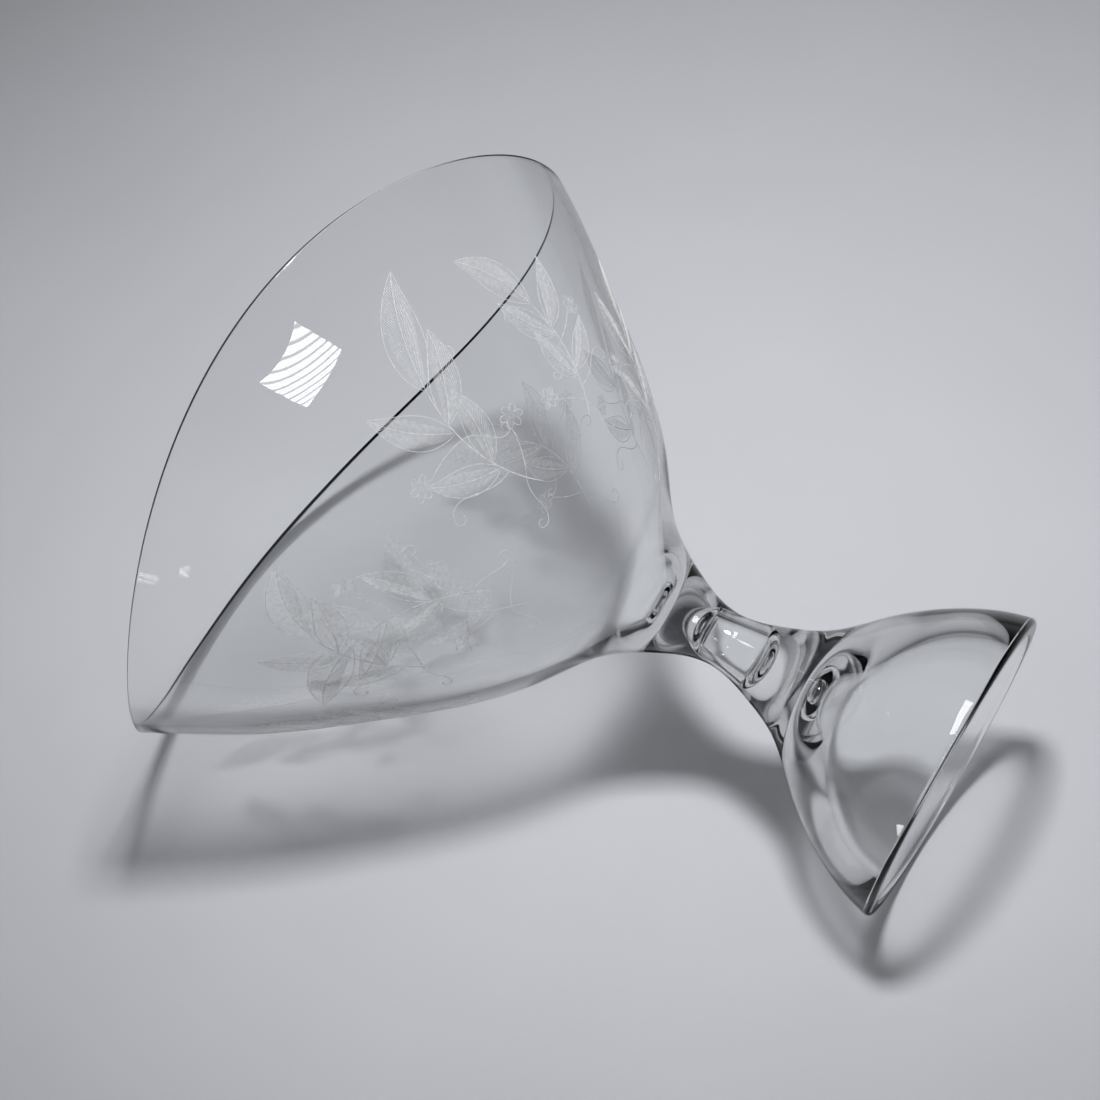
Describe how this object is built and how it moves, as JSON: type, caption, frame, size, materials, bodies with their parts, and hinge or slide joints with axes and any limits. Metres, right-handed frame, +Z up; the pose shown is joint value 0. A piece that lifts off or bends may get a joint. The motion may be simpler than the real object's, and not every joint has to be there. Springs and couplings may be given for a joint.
{
  "type": "footed glass bowl",
  "caption": "Clear blown-glass bowl with a wavy, slanting mouth, on a short waisted stem with an enclosed air bubble and a hollow bell foot.",
  "frame": {"origin": "centre of the foot's ground ring, in the plane that it rests on", "axes": "+Z up the axis of foot, stem and bowl; the rim dips towards +X and -X and rises towards +Y and -Y"},
  "size_m": [0.1831, 0.2065, 0.2119],
  "materials": {
    "bowl_glass": "fire-polished clear glass with fine matte engraving",
    "stem_glass": "fire-polished clear glass",
    "foot_glass": "fire-polished clear glass, ring ground flat and polished"
  },
  "bodies": {
    "root": {"bowl": "bowl_glass", "stem": "stem_glass", "foot": "foot_glass"}
  },
  "joints": []
}
